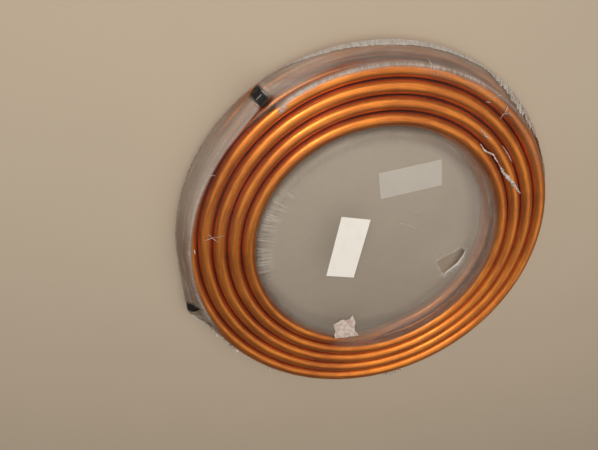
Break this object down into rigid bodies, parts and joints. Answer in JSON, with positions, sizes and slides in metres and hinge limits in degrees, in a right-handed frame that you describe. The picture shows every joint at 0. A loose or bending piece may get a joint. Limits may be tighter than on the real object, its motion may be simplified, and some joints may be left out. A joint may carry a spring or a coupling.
{
  "type": "copper tube coil",
  "caption": "Coil of soft copper tube wound in two flat spiral layers, capped at both ends and shrink-wrapped in clear film.",
  "frame": {"origin": "on the coil's axis at the rest plane, the rear face's level", "axes": "+Z along the coil's axis, out of the front face; +Y is up in the picture; +X to the right of the front face"},
  "size_m": [0.6535, 0.6412, 0.0482],
  "materials": {
    "copper": "bright drawn copper, lightly oxidised",
    "cap_plastic": "black moulded plastic",
    "film": "clear shrink film, slightly hazy",
    "paper": "matt white paper"
  },
  "bodies": {
    "root": {"copper_tube": "copper", "end_cap_front": "cap_plastic", "end_cap_rear": "cap_plastic", "film_front": "film", "film_rear": "film", "film_rim": "film", "front_label": "paper", "rear_label": "paper", "paper_scrap": "paper"}
  },
  "joints": []
}
